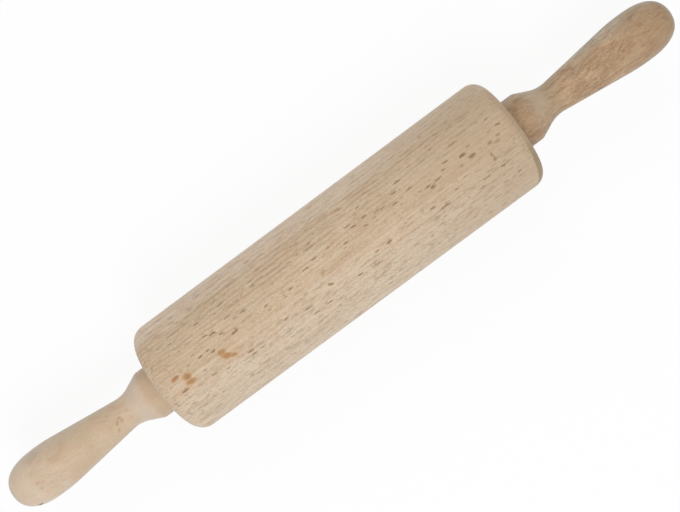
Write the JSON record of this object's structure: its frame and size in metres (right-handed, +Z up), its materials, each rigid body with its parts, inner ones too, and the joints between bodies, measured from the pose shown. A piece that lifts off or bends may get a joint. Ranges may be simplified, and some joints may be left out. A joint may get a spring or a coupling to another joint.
{
  "type": "rolling pin",
  "caption": "Wooden rolling pin: a smooth turned beech barrel with rounded ends that spins on a steel axle between two waisted beech handles.",
  "frame": {"origin": "the middle of the barrel's length, on the pin's axis", "axes": "+X along the pin's axis towards the right handle, +Z up, with the pin lying flat on its barrel"},
  "size_m": [0.4, 0.06, 0.06],
  "materials": {
    "barrel_beech": "fine-sanded bare steamed beech, with short brown ray flecks along the grain",
    "pale_beech": "fine-sanded bare beech, pale and even",
    "red_beech": "fine-sanded bare beech, reddish brown with darker streaks",
    "bright_steel": "bright drawn rod",
    "zinc_steel": "zinc plated",
    "white_nylon": "moulded nylon, satin"
  },
  "bodies": {
    "handle_set": {"axle_rod": "bright_steel", "left_washer": "zinc_steel", "right_washer": "zinc_steel", "left_handle": "pale_beech", "right_handle": "red_beech"},
    "barrel_set": {"barrel": "barrel_beech", "left_bush": "white_nylon", "right_bush": "white_nylon"}
  },
  "joints": [
    {"name": "barrel_spin", "type": "hinge", "parent": "handle_set", "child": "barrel_set", "pos_m": [0, 0, 0], "axis": [1, 0, 0], "continuous": true}
  ]
}
